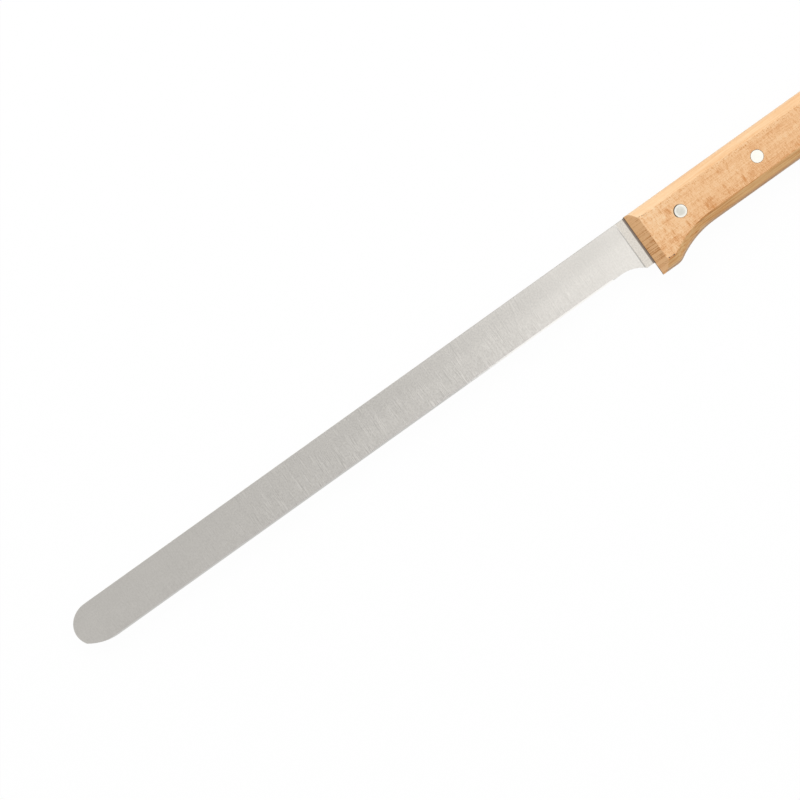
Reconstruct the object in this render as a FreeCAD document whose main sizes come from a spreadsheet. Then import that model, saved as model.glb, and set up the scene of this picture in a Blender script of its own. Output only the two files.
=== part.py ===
import FreeCAD, Part
import math
import os
import Sketcher
from types import SimpleNamespace

# Carving knife with a parallel blade, a full tang, two riveted wooden scales and a finger guard.
# The knife lies on its right side: +X runs from the tip to the butt, +Y from the edge to the spine, +Z up.
# Each blade and handle piece is drawn from the point where the spine meets the handle front.

# Driving dimensions in millimetres: alias, value, meaning.
SIZES = (
    ("blade_length", 300.75, "handle front to tip"),
    ("blade_height", 19.6, "spine to cutting edge"),
    ("blade_thickness", 1.7, "steel at the spine and through the tang"),
    ("tip_stretch", 1.0, "how much longer than a half circle the round of the tip is"),
    ("belly_radius", 23.5, "curve on which the cutting edge rises to the tip"),
    ("belly_length", 15.6, "tip to the end of the straight cutting edge"),
    ("spine_radius", 0.25, "rounding of the long spine edges"),
    ("spine_land", 1.0, "unground strip below the spine"),
    ("heel_drop", 4.2, "how far the heel reaches below the cutting edge"),
    ("heel_length", 4.05, "straight underside of the heel ahead of the handle"),
    ("heel_radius", 16.0, "hollow curve from the heel up to the cutting edge"),
    ("heel_thickness", 0.08, "ground steel left at the lowest point of the heel"),
    ("grind_setback", 4.95, "start of the grind ahead of the handle, at the spine"),
    ("grind_radius", 0.5, "hollow at the start of the grind"),
    ("bevel_height", 0.55, "height of the sharpened bevel"),
    ("edge_land", 0.03, "width left at the very edge"),
    ("runout_radius", 8.0, "curve on which the sharpening leaves the edge at the heel"),
    ("blunt_length", 6.0, "unsharpened edge ahead of the heel's curve"),
    ("handle_length", 124.25, "handle front to butt"),
    ("handle_rise", 0.3, "handle top above the spine"),
    ("grip_height", 24.1, "handle top to the straight underside"),
    ("guard_drop", 6.5, "finger guard below the straight underside"),
    ("guard_length", 7.55, "flat underside of the finger guard"),
    ("guard_radius", 7.0, "round rear corner of the finger guard"),
    ("guard_throat_radius", 42.0, "hollow behind the finger guard"),
    ("pommel_drop", 3.0, "swell of the butt below the straight underside"),
    ("pommel_radius", 7.0, "round lower corner of the butt"),
    ("pommel_throat_radius", 60.0, "hollow ahead of the butt"),
    ("butt_radius", 8.0, "round upper corner of the butt"),
    ("scale_thickness", 7.4, "wood on each side of the tang"),
    ("side_chamfer", 4.1, "chamfer along the outer edges of a scale"),
    ("arris_radius", 0.8, "rounding between the chamfer and the flat face"),
    ("grip_radius", 4.5, "rounding between the chamfer and the narrow sides of the handle"),
    ("front_land", 0.4, "square wood left at the blade, ahead of the front bevel"),
    ("front_bevel", 4.45, "length of the front bevel along the handle"),
    ("rivet_setback", 21.05, "handle front to the first rivet"),
    ("rivet_pitch", 40.8, "distance between rivets"),
    ("rivet_drop", 12.25, "handle top to the rivet axes"),
    ("post_diameter", 2.6, "solid rivet post"),
    ("sleeve_wall", 0.7, "wall of the hollow rivet sleeve"),
    ("head_overhang", 0.95, "rivet head beyond the sleeve, all round"),
    ("head_height", 2.0, "thickness of a rivet head"),
    ("head_radius", 0.2, "rounded rim of a rivet head"),
    ("head_recess", 0.05, "rivet head below the face of the wood"),
    ("head_clearance", 0.06, "gap round a rivet head"),
    ("sleeve_clearance", 0.05, "gap round a rivet sleeve"),
    ("end_gap", 0.5, "room left at the end of a rivet post and sleeve"),
    ("overrun", 1.5, "how far cuts reach past the steel or wood"),
)
RIVET_NAMES = ("front", "middle", "rear")
START, END, CENTRE = 1, 2, 3
ORIGIN = (-1, 1)
ACROSS, UPRIGHT = -1, -2


class Size:
    """A size that carries its value and the expression that ties it to the sheet."""

    def __init__(self, value, text):
        self.value = value
        self.text = text

    def __add__(self, other):
        return Size(self.value + other.value, f"({self.text} + {other.text})")

    def __sub__(self, other):
        return Size(self.value - other.value, f"({self.text} - {other.text})")

    def __neg__(self):
        return Size(-self.value, f"(-{self.text})")

    def __mul__(self, other):
        other = as_size(other)
        return Size(self.value * other.value, f"({self.text} * {other.text})")

    def __truediv__(self, other):
        other = as_size(other)
        return Size(self.value / other.value, f"({self.text} / {other.text})")


def as_size(number):
    """Wraps a plain count or share so that sizes can be multiplied by it."""
    return number if isinstance(number, Size) else Size(number, str(number))


def square_root(size):
    """The square root of a product of two sizes."""
    return Size(math.sqrt(size.value), f"sqrt({size.text})")


ZERO = Size(0, "0")
doc = FreeCAD.newDocument("carving_knife")
sheet = doc.addObject("Spreadsheet::Sheet", "sizes")
for row, (alias, value, meaning) in enumerate(SIZES, start=1):
    sheet.set(f"A{row}", meaning)
    sheet.set(f"B{row}", str(value))
    sheet.setAlias(f"B{row}", alias)
doc.recompute()

s = SimpleNamespace(**{alias: Size(value, f"sizes.{alias}") for alias, value, meaning in SIZES})
mm = SimpleNamespace(**{alias: value for alias, value, meaning in SIZES})

# Sizes and places that several pieces share.
half_thickness = s.blade_thickness / 2
sleeve_diameter = s.post_diameter + s.sleeve_wall * 2
head_diameter = sleeve_diameter + s.head_overhang * 2
rivet_hole_diameter = sleeve_diameter + s.sleeve_clearance * 2
head_hole_diameter = head_diameter + s.head_clearance * 2
head_hole_depth = s.head_height + s.head_recess
knife_x = (s.blade_length - s.handle_length) / 2
knife_y = (s.grip_height + s.guard_drop) / 2 - s.handle_rise
middle_z = s.scale_thickness + half_thickness
rivet_y = s.handle_rise - s.rivet_drop
knife_thickness = s.scale_thickness * 2 + s.blade_thickness
rivet_length = knife_thickness - s.head_recess * 2
shank_length = rivet_length - s.head_height - s.end_gap
ground_height = s.blade_height + s.heel_drop - s.spine_land
grind_slope = (half_thickness - s.heel_thickness / 2) / ground_height
edge_half_thickness = s.heel_thickness / 2 + grind_slope * s.heel_drop
heel_reach = square_root((s.heel_radius * 2 - s.heel_drop) * s.heel_drop)


def bind(feature, **sizes):
    """Sets properties to sizes and ties them to the sheet."""
    for name, size in sizes.items():
        setattr(feature, name, size.value)
        feature.setExpression(name, size.text)


def place(feature, x, y, z):
    """Puts a piece in the knife's frame."""
    feature.Placement = FreeCAD.Placement(FreeCAD.Vector(x.value, y.value, z.value), FreeCAD.Rotation())
    for axis, size in (("x", x), ("y", y), ("z", z)):
        feature.setExpression(f"Placement.Base.{axis}", size.text)


def new_body(label):
    """Makes an empty body with its own label."""
    body = doc.addObject("PartDesign::Body", label)
    body.Label = label
    return body


def origin_feature(body, role):
    """Finds one of a body's own planes or axes."""
    return next(feature for feature in body.Origin.OriginFeatures if feature.Role == role)


def new_sketch(body, name, role):
    """Makes a sketch on one of a body's own planes."""
    sketch = body.newObject("Sketcher::SketchObject", name)
    sketch.AttachmentSupport = [(origin_feature(body, role), "")]
    sketch.MapMode = "FlatFace"
    return sketch


def shift_sketch(sketch, height):
    """Lifts a sketch off its plane along the plane's normal."""
    sketch.AttachmentOffset = FreeCAD.Placement(FreeCAD.Vector(0, 0, height.value), FreeCAD.Rotation())
    sketch.setExpression("AttachmentOffset.Base.z", height.text)


def new_feature(body, kind, name, **settings):
    """Adds a feature to a body."""
    feature = body.newObject(f"PartDesign::{kind}", name)
    for key, value in settings.items():
        setattr(feature, key, value)
    return feature


def check_cut(feature, base):
    """Recomputes a cut and makes sure that it took material away."""
    doc.recompute()
    if not feature.Shape.Volume < base.Shape.Volume:
        raise RuntimeError(f"{feature.Name} cuts nothing")


def add_line(sketch, start, end):
    """Adds a straight line between two points."""
    return sketch.addGeometry(Part.LineSegment(FreeCAD.Vector(*start), FreeCAD.Vector(*end)))


def add_arc(sketch, centre, radius, first, last):
    """Adds a circular arc, anticlockwise between two angles in degrees."""
    circle = Part.Circle(FreeCAD.Vector(*centre), FreeCAD.Vector(0, 0, 1), radius)
    return sketch.addGeometry(Part.ArcOfCircle(circle, math.radians(first), math.radians(last)))


def fix(sketch, kind, *places):
    """Adds a constraint that has no size."""
    sketch.addConstraint(Sketcher.Constraint(kind, *places))


def drive(sketch, kind, places, size):
    """Adds a constraint whose size comes from the sheet."""
    if size.value < 0:
        places = places[2:] + places[:2]
        size = -size
    index = sketch.addConstraint(Sketcher.Constraint(kind, *places, size.value))
    sketch.setExpression(f"Constraints[{index}]", size.text)


def locate(sketch, point, x, y):
    """Fixes a point's place from the sketch's origin."""
    for kind, size, axis in (("DistanceX", x, UPRIGHT), ("DistanceY", y, ACROSS)):
        if size is ZERO:
            fix(sketch, "PointOnObject", *point, axis)
        else:
            drive(sketch, kind, (*ORIGIN, *point), size)


def add_polygon(sketch, points):
    """Adds a closed polygon whose corners are placed by sizes."""
    values = [(x.value, y.value) for x, y in points]
    sides = [add_line(sketch, (*a, 0), (*b, 0)) for a, b in zip(values, values[1:] + values[:1])]
    for side, following in zip(sides, sides[1:] + sides[:1]):
        fix(sketch, "Coincident", side, END, following, START)
    for side, (x, y) in zip(sides, points):
        locate(sketch, (side, START), x, y)


def turn_angle(drop, radii):
    """The angle in degrees that two tangent arcs turn through to step sideways by a drop."""
    return math.degrees(math.acos(1 - drop / radii))


def draw_handle_outline(sketch):
    """Draws the handle's side view, shared by the tang and the scales."""
    underside = mm.handle_rise - mm.grip_height
    guard_foot = underside - mm.guard_drop
    guard_turn = turn_angle(mm.guard_drop, mm.guard_radius + mm.guard_throat_radius)
    guard_reach = (mm.guard_radius + mm.guard_throat_radius) * math.sin(math.radians(guard_turn))
    grip_start = mm.guard_length + guard_reach
    pommel_turn = turn_angle(mm.pommel_drop, mm.pommel_radius + mm.pommel_throat_radius)
    pommel_reach = (mm.pommel_radius + mm.pommel_throat_radius) * math.sin(math.radians(pommel_turn))
    pommel_centre = (mm.handle_length - mm.pommel_radius, underside - mm.pommel_drop + mm.pommel_radius, 0)
    grip_end = pommel_centre[0] - pommel_reach
    butt_centre = (mm.handle_length - mm.butt_radius, mm.handle_rise - mm.butt_radius, 0)

    front = add_line(sketch, (0, mm.handle_rise, 0), (0, guard_foot, 0))
    guard = add_line(sketch, (0, guard_foot, 0), (mm.guard_length, guard_foot, 0))
    corner = (mm.guard_length, guard_foot + mm.guard_radius, 0)
    guard_corner = add_arc(sketch, corner, mm.guard_radius, -90, guard_turn - 90)
    throat = (grip_start, underside - mm.guard_throat_radius, 0)
    guard_throat = add_arc(sketch, throat, mm.guard_throat_radius, 90, 90 + guard_turn)
    grip = add_line(sketch, (grip_start, underside, 0), (grip_end, underside, 0))
    hollow = (grip_end, underside - mm.pommel_throat_radius, 0)
    pommel_throat = add_arc(sketch, hollow, mm.pommel_throat_radius, 90 - pommel_turn, 90)
    pommel = add_arc(sketch, pommel_centre, mm.pommel_radius, 270 - pommel_turn, 360)
    butt = add_line(sketch, (mm.handle_length, pommel_centre[1], 0), (mm.handle_length, butt_centre[1], 0))
    butt_corner = add_arc(sketch, butt_centre, mm.butt_radius, 0, 90)
    top = add_line(sketch, (butt_centre[0], mm.handle_rise, 0), (0, mm.handle_rise, 0))

    fix(sketch, "Coincident", top, END, front, START)
    fix(sketch, "Coincident", front, END, guard, START)
    fix(sketch, "Tangent", guard, END, guard_corner, START)
    fix(sketch, "Tangent", guard_corner, END, guard_throat, END)
    fix(sketch, "Tangent", guard_throat, START, grip, START)
    fix(sketch, "Tangent", grip, END, pommel_throat, END)
    fix(sketch, "Tangent", pommel_throat, START, pommel, START)
    fix(sketch, "Tangent", pommel, END, butt, START)
    fix(sketch, "Tangent", butt, END, butt_corner, START)
    fix(sketch, "Tangent", butt_corner, END, top, START)
    fix(sketch, "Vertical", front)
    fix(sketch, "Horizontal", guard)
    fix(sketch, "Horizontal", grip)
    fix(sketch, "Vertical", butt)
    fix(sketch, "Horizontal", top)
    fix(sketch, "PointOnObject", front, START, UPRIGHT)
    drive(sketch, "DistanceY", (*ORIGIN, front, START), s.handle_rise)
    drive(sketch, "DistanceY", (grip, START, front, START), s.grip_height)
    drive(sketch, "DistanceY", (front, END, grip, START), s.guard_drop)
    drive(sketch, "DistanceX", (front, END, guard, END), s.guard_length)
    drive(sketch, "DistanceX", (front, START, butt, END), s.handle_length)
    drive(sketch, "DistanceY", (grip, END, pommel, CENTRE), s.pommel_radius - s.pommel_drop)
    drive(sketch, "Radius", (guard_corner,), s.guard_radius)
    drive(sketch, "Radius", (guard_throat,), s.guard_throat_radius)
    drive(sketch, "Radius", (pommel_throat,), s.pommel_throat_radius)
    drive(sketch, "Radius", (pommel,), s.pommel_radius)
    drive(sketch, "Radius", (butt_corner,), s.butt_radius)


def tip_corner(ellipse, belly_centre):
    """The ellipse's angle in radians where the round of the tip meets the belly."""
    first = math.radians(180)
    last = math.radians(270)
    while not near(first, last):
        middle = (first + last) / 2
        if ellipse.value(middle).distanceToPoint(belly_centre) < mm.belly_radius:
            first = middle
        else:
            last = middle
    return first


def draw_blade_outline(sketch):
    """Draws the blade's side view, from the round tip to just inside the handle."""
    half_height = mm.blade_height / 2
    tip_length = half_height + mm.tip_stretch
    tip_start = tip_length - mm.blade_length
    belly_end = mm.belly_length - mm.blade_length
    heel_foot = -mm.blade_height - mm.heel_drop
    edge_end = -mm.heel_length - heel_reach.value
    heel_angle = math.degrees(math.acos(heel_reach.value / mm.heel_radius))

    spine = add_line(sketch, (mm.overrun, 0, 0), (tip_start, 0, 0))
    tip_centre = FreeCAD.Vector(tip_start, -half_height, 0)
    long_axis_end = tip_centre + FreeCAD.Vector(tip_length, 0, 0)
    short_axis_end = tip_centre + FreeCAD.Vector(0, half_height, 0)
    ellipse = Part.Ellipse(long_axis_end, short_axis_end, tip_centre)
    belly_centre = FreeCAD.Vector(belly_end, mm.belly_radius - mm.blade_height, 0)
    corner = tip_corner(ellipse, belly_centre)
    reach = ellipse.value(corner) - belly_centre
    belly_angle = math.degrees(math.atan2(reach.y, reach.x))
    tip = sketch.addGeometry(Part.ArcOfEllipse(ellipse, math.radians(90), corner))
    belly = add_arc(sketch, belly_centre, mm.belly_radius, belly_angle, -90)
    edge = add_line(sketch, (belly_end, -mm.blade_height, 0), (edge_end, -mm.blade_height, 0))
    hollow = (edge_end, -mm.blade_height - mm.heel_radius, 0)
    heel_curve = add_arc(sketch, hollow, mm.heel_radius, heel_angle, 90)
    heel = add_line(sketch, (-mm.heel_length, heel_foot, 0), (mm.overrun, heel_foot, 0))
    root = add_line(sketch, (mm.overrun, heel_foot, 0), (mm.overrun, 0, 0))

    fix(sketch, "Coincident", root, END, spine, START)
    fix(sketch, "Tangent", spine, END, tip, START)
    fix(sketch, "Coincident", tip, END, belly, START)
    fix(sketch, "Tangent", belly, END, edge, START)
    fix(sketch, "Tangent", edge, END, heel_curve, END)
    fix(sketch, "Coincident", heel_curve, START, heel, START)
    fix(sketch, "Coincident", heel, END, root, START)
    fix(sketch, "Horizontal", edge)
    fix(sketch, "Horizontal", heel)
    fix(sketch, "Vertical", root)
    fix(sketch, "PointOnObject", spine, START, ACROSS)
    fix(sketch, "PointOnObject", spine, END, ACROSS)
    # The ellipse's long axis is the next line after the outline's own.
    sketch.exposeInternalGeometry(tip)
    long_axis = root + 1
    fix(sketch, "Horizontal", long_axis)
    drive(sketch, "DistanceX", (long_axis, END, *ORIGIN), s.blade_length)
    drive(sketch, "DistanceX", (long_axis, END, tip, CENTRE), s.blade_height / 2 + s.tip_stretch)
    drive(sketch, "DistanceY", (tip, CENTRE, *ORIGIN), s.blade_height / 2)
    drive(sketch, "DistanceX", (long_axis, END, belly, CENTRE), s.belly_length)
    drive(sketch, "Radius", (belly,), s.belly_radius)
    drive(sketch, "DistanceY", (edge, END, *ORIGIN), s.blade_height)
    drive(sketch, "DistanceY", (heel, START, edge, END), s.heel_drop)
    drive(sketch, "DistanceX", (heel, START, *ORIGIN), s.heel_length)
    drive(sketch, "Radius", (heel_curve,), s.heel_radius)
    drive(sketch, "DistanceX", (*ORIGIN, root, END), s.overrun)


def cut_left_grind(body):
    """Cuts the flat grind of the left side, from below the spine to the heel line."""
    sketch = new_sketch(body, "grind_section", "XZ_Plane")
    tilt = FreeCAD.Rotation(FreeCAD.Vector(1, 0, 0), math.degrees(math.atan(grind_slope.value)))
    sketch.AttachmentOffset = FreeCAD.Placement(FreeCAD.Vector(0, half_thickness.value, mm.spine_land), tilt)
    sketch.setExpression("AttachmentOffset.Base.y", half_thickness.text)
    sketch.setExpression("AttachmentOffset.Base.z", s.spine_land.text)
    sketch.setExpression("AttachmentOffset.Rotation.Angle", f"atan({grind_slope.text})")

    far = -mm.blade_length - mm.overrun
    start = -mm.grind_setback
    wall = start + mm.grind_radius
    roof = mm.grind_radius + mm.overrun
    floor = add_line(sketch, (far, 0, 0), (start, 0, 0))
    hollow = add_arc(sketch, (start, mm.grind_radius, 0), mm.grind_radius, 270, 360)
    rise = add_line(sketch, (wall, mm.grind_radius, 0), (wall, roof, 0))
    lid = add_line(sketch, (wall, roof, 0), (far, roof, 0))
    end = add_line(sketch, (far, roof, 0), (far, 0, 0))
    fix(sketch, "Tangent", floor, END, hollow, START)
    fix(sketch, "Tangent", hollow, END, rise, START)
    fix(sketch, "Coincident", rise, END, lid, START)
    fix(sketch, "Coincident", lid, END, end, START)
    fix(sketch, "Coincident", end, END, floor, START)
    fix(sketch, "Vertical", rise)
    fix(sketch, "Horizontal", lid)
    fix(sketch, "Vertical", end)
    fix(sketch, "PointOnObject", floor, START, ACROSS)
    fix(sketch, "PointOnObject", floor, END, ACROSS)
    drive(sketch, "DistanceX", (floor, START, *ORIGIN), s.blade_length + s.overrun)
    drive(sketch, "DistanceX", (floor, END, *ORIGIN), s.grind_setback)
    drive(sketch, "Radius", (hollow,), s.grind_radius)
    drive(sketch, "DistanceY", (rise, START, rise, END), s.overrun)

    base = body.Tip
    grind = new_feature(body, "Pocket", "left_grind", Profile=sketch, SideType="Symmetric")
    bind(grind, Length=(ground_height + s.overrun) * 2)
    check_cut(grind, base)
    return grind


def cut_left_bevel(body):
    """Cuts the left side's sharpened bevel along the edge, running out at the belly and before the heel."""
    bevel_reach = s.heel_length + heel_reach + s.blunt_length
    edge_end = -bevel_reach.value
    far = -mm.blade_length - mm.overrun
    path = new_sketch(body, "bevel_path", "XY_Plane")
    straight = add_line(path, (far, -mm.blade_height, 0), (edge_end, -mm.blade_height, 0))
    hollow = (edge_end, -mm.blade_height - mm.runout_radius, 0)
    runout = add_arc(path, hollow, mm.runout_radius, 30, 90)
    fix(path, "Tangent", straight, END, runout, END)
    fix(path, "Horizontal", straight)
    drive(path, "DistanceX", (straight, START, *ORIGIN), s.blade_length + s.overrun)
    drive(path, "DistanceX", (straight, END, *ORIGIN), bevel_reach)
    drive(path, "DistanceY", (straight, START, *ORIGIN), s.blade_height)
    drive(path, "DistanceY", (runout, START, straight, END), s.runout_radius / 2)
    drive(path, "Radius", (runout,), s.runout_radius)

    section = new_sketch(body, "bevel_section", "YZ_Plane")
    shift_sketch(section, -(s.blade_length + s.overrun))
    half_land = s.edge_land / 2
    top = s.bevel_height * 2 - s.blade_height
    foot = -(s.blade_height + s.overrun)
    corners = (
        (-s.blade_height, half_land),
        (top, edge_half_thickness * 2 - half_land),
        (top, s.blade_thickness),
        (foot, s.blade_thickness),
        (foot, half_land),
    )
    add_polygon(section, corners)
    doc.recompute()
    base = body.Tip
    spine = (path, ["Edge1", "Edge2"])
    bevel = new_feature(body, "SubtractivePipe", "left_bevel", Profile=section, Spine=spine)
    check_cut(bevel, base)
    return bevel


def edge_names(shape, wanted):
    """Names the edges of a shape that a test picks out."""
    return [f"Edge{number}" for number, edge in enumerate(shape.Edges, start=1) if wanted(edge)]


def near(first, second):
    """Says whether two lengths agree."""
    return math.isclose(first, second, abs_tol=Part.Precision.approximation())


def round_spine(body, blank):
    """Rounds the two long edges of the spine, on round the tip."""

    def along_spine(edge):
        middle = edge.CenterOfMass
        return near(middle.y, 0) and near(abs(middle.z), half_thickness.value)

    names = edge_names(blank.Shape, along_spine)
    rounding = new_feature(body, "Fillet", "spine_rounding", Base=(blank, names))
    bind(rounding, Radius=s.spine_radius)
    check_cut(rounding, blank)


def draw_rivet_hole(sketch):
    """Draws the hole that the sleeve of the front rivet passes through."""
    centre = FreeCAD.Vector(mm.rivet_setback, rivet_y.value, 0)
    circle = Part.Circle(centre, FreeCAD.Vector(0, 0, 1), rivet_hole_diameter.value / 2)
    hole = sketch.addGeometry(circle)
    locate(sketch, (hole, CENTRE), s.rivet_setback, rivet_y)
    drive(sketch, "Diameter", (hole,), rivet_hole_diameter)


def drill_tang(body):
    """Drills the tang for the rivets."""
    sketch = new_sketch(body, "tang_hole", "XY_Plane")
    draw_rivet_hole(sketch)
    base = body.Tip
    hole = new_feature(body, "Pocket", "front_tang_hole", Profile=sketch, SideType="Symmetric")
    bind(hole, Length=s.blade_thickness + s.overrun)
    check_cut(hole, base)
    repeat_along_handle(body, hole, "tang_holes")


def repeat_along_handle(body, hole, name):
    """Repeats a hole at every rivet."""
    axis = (origin_feature(body, "X_Axis"), [""])
    row = new_feature(body, "LinearPattern", name, Originals=[hole], Direction=axis, Mode="Spacing")
    row.Occurrences = len(RIVET_NAMES)
    bind(row, Offset=s.rivet_pitch)
    body.Tip = row
    check_cut(row, hole)


def make_blade():
    """Makes the blade, its heel and its tang from one piece of steel."""
    body = new_body("blade")
    outline = new_sketch(body, "blade_outline", "XY_Plane")
    draw_blade_outline(outline)
    blank = new_feature(body, "Pad", "blade_blank", Profile=outline, SideType="Symmetric")
    bind(blank, Length=s.blade_thickness)
    doc.recompute()
    round_spine(body, blank)

    tang_outline = new_sketch(body, "tang_outline", "XY_Plane")
    draw_handle_outline(tang_outline)
    tang = new_feature(body, "Pad", "tang", Profile=tang_outline, SideType="Symmetric")
    bind(tang, Length=s.blade_thickness)
    doc.recompute()
    drill_tang(body)

    grind = cut_left_grind(body)
    bevel = cut_left_bevel(body)
    mirror_plane = (origin_feature(body, "XY_Plane"), [""])
    cuts = [grind, bevel]
    right_side = new_feature(body, "Mirrored", "right_side", Originals=cuts, MirrorPlane=mirror_plane)
    body.Tip = right_side
    check_cut(right_side, bevel)
    place(body, knife_x, knife_y, middle_z)
    return body


def cut_front_bevel(body, wood):
    """Slopes the front of a scale back from the blade."""
    sketch = new_sketch(body, "front_section", "XZ_Plane")
    roof = s.scale_thickness + s.overrun
    corners = (
        (ZERO, s.front_land),
        (s.front_bevel, s.scale_thickness),
        (s.front_bevel, roof),
        (-s.overrun, roof),
        (-s.overrun, s.front_land),
    )
    add_polygon(sketch, corners)
    bevel = new_feature(body, "Pocket", "front_slope", Profile=sketch, SideType="Symmetric")
    bind(bevel, Length=(s.grip_height + s.guard_drop + s.overrun) * 2)
    check_cut(bevel, wood)
    return bevel


def level_edges(shape, height):
    """Names the edges of a scale that run level at a height, all but the one at the front bevel."""

    def wanted(edge):
        points = [vertex.Point for vertex in edge.Vertexes]
        at_front = all(near(point.x, mm.front_bevel) for point in points)
        return not at_front and all(near(point.z, height) for point in points)

    return edge_names(shape, wanted)


def ease_edges(body, bevel):
    """Chamfers the outer edges of a scale, all but the front one, and rounds the chamfer's own edges."""
    names = level_edges(bevel.Shape, mm.scale_thickness)
    chamfer = new_feature(body, "Chamfer", "side_chamfer", Base=(bevel, names))
    bind(chamfer, Size=s.side_chamfer)
    check_cut(chamfer, bevel)

    names = level_edges(chamfer.Shape, mm.scale_thickness - mm.side_chamfer)
    grip = new_feature(body, "Fillet", "grip_rounding", Base=(chamfer, names))
    bind(grip, Radius=s.grip_radius)
    check_cut(grip, chamfer)

    names = level_edges(grip.Shape, mm.scale_thickness)
    arris = new_feature(body, "Fillet", "arris_rounding", Base=(grip, names))
    bind(arris, Radius=s.arris_radius)
    check_cut(arris, grip)


def drill_scale(body):
    """Drills a scale for the rivets, with a seat for each head in the outer face."""
    sketch = new_sketch(body, "rivet_place", "XY_Plane")
    shift_sketch(sketch, s.scale_thickness)
    draw_rivet_hole(sketch)
    doc.recompute()
    base = body.Tip
    hole = new_feature(body, "Hole", "front_rivet_hole", Profile=sketch, DepthType="ThroughAll")
    hole.HoleCutType = "Counterbore"
    hole.HoleCutCustomValues = True
    bind(hole, Diameter=rivet_hole_diameter, HoleCutDiameter=head_hole_diameter, HoleCutDepth=head_hole_depth)
    check_cut(hole, base)
    repeat_along_handle(body, hole, "rivet_holes")


def make_left_scale():
    """Makes the scale on the upper side of the tang."""
    body = new_body("left_scale")
    outline = new_sketch(body, "scale_outline", "XY_Plane")
    draw_handle_outline(outline)
    wood = new_feature(body, "Pad", "scale_blank", Profile=outline)
    bind(wood, Length=s.scale_thickness)
    doc.recompute()
    bevel = cut_front_bevel(body, wood)
    ease_edges(body, bevel)
    drill_scale(body)
    place(body, knife_x, knife_y, middle_z + half_thickness)
    return body


def make_right_scale(left_scale):
    """Makes the scale on the under side as the mirror image of the other one."""
    scale = doc.addObject("Part::Mirroring", "right_scale")
    scale.Label = "right_scale"
    scale.Source = left_scale
    scale.Normal = FreeCAD.Vector(0, 0, 1)
    scale.Base = FreeCAD.Vector(0, 0, middle_z.value)
    scale.setExpression("Base.z", middle_z.text)
    return scale


def make_rivet_half(label, corners):
    """Turns a rivet half from its half section and rounds the rim of its head."""
    body = new_body(label)
    sketch = new_sketch(body, "half_section", "XZ_Plane")
    add_polygon(sketch, corners)
    axis = (sketch, ["V_Axis"])
    blank = new_feature(body, "Revolution", "turned_blank", Profile=sketch, ReferenceAxis=axis)
    doc.recompute()

    def around_head(edge):
        box = edge.BoundBox
        return near(box.XMax, head_diameter.value / 2) and near(box.ZMin, 0) and near(box.ZMax, 0)

    names = edge_names(blank.Shape, around_head)
    rounding = new_feature(body, "Fillet", "rim_rounding", Base=(blank, names))
    bind(rounding, Radius=s.head_radius)
    check_cut(rounding, blank)
    return body


def make_rivets():
    """Makes each rivet's hollow half, with its head in the left scale, and the solid half pressed into it."""
    post_radius = s.post_diameter / 2
    sleeve_radius = sleeve_diameter / 2
    head_radius = head_diameter / 2
    sleeve_corners = (
        (ZERO, ZERO),
        (head_radius, ZERO),
        (head_radius, -s.head_height),
        (sleeve_radius, -s.head_height),
        (sleeve_radius, -shank_length),
        (post_radius, -shank_length),
        (post_radius, -s.head_height),
        (ZERO, -s.head_height),
    )
    post_corners = (
        (ZERO, ZERO),
        (head_radius, ZERO),
        (head_radius, s.head_height),
        (post_radius, s.head_height),
        (post_radius, shank_length),
        (ZERO, shank_length),
    )
    rivets = []
    for number, name in enumerate(RIVET_NAMES):
        x = knife_x + s.rivet_setback + s.rivet_pitch * number
        y = knife_y + rivet_y
        sleeve = make_rivet_half(f"{name}_rivet_sleeve", sleeve_corners)
        place(sleeve, x, y, knife_thickness - s.head_recess)
        post = make_rivet_half(f"{name}_rivet_post", post_corners)
        place(post, x, y, s.head_recess)
        rivets += [sleeve, post]
    return rivets


def check_and_write(pieces):
    """Makes sure that everything recomputed soundly, then writes each piece to its own file."""
    doc.recompute()
    for feature in doc.Objects:
        if {"Invalid", "Error"} & set(feature.State):
            raise RuntimeError(f"{feature.Label} failed to recompute")
        if feature.isDerivedFrom("Sketcher::SketchObject") and not feature.FullyConstrained:
            raise RuntimeError(f"{feature.Label} is not fully constrained")
    for piece in pieces:
        if piece.Shape.isNull() or not piece.Shape.isValid() or len(piece.Shape.Solids) != 1:
            raise RuntimeError(f"{piece.Label} is not one sound solid")
    os.makedirs("parts", exist_ok=True)
    for piece in pieces:
        piece.Shape.exportStep(f"parts/{piece.Label}.step")
        print(f"{piece.Label}: {piece.Shape.Volume:.1f} cubic mm")


blade = make_blade()
left_scale = make_left_scale()
right_scale = make_right_scale(left_scale)
check_and_write([blade, left_scale, right_scale, *make_rivets()])
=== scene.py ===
import math

import bpy
from bpy.props import FloatProperty, FloatVectorProperty, PointerProperty
from bpy.types import Operator, Panel, PropertyGroup
from mathutils import Matrix, Vector


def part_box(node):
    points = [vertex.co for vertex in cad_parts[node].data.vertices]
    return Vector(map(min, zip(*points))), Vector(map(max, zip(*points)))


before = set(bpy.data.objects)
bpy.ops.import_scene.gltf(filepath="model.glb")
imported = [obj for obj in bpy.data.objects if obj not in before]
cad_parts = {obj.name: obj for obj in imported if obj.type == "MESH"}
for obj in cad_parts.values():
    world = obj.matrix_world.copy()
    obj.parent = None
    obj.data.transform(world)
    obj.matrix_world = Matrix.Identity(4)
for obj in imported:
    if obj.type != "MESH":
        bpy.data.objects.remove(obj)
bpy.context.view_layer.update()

bl_info = {
    "name": "Carving knife",
    "version": (1, 0, 0),
    "blender": (4, 5, 0),
    "location": "3D View > Sidebar > Carving knife",
    "description": "Finishes the steel, beech and rivets of a carving knife and sets up a plain studio",
    "category": "Object",
}

MM = 0.001
PER_MM = 1000.0
WHITE = (1.0, 1.0, 1.0, 1.0)
# Sockets of a Mix node for colours: its share, its two colours and its result.
MIX_SHARE, MIX_FIRST, MIX_SECOND, MIX_RESULT = 0, 6, 7, 2

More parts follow.
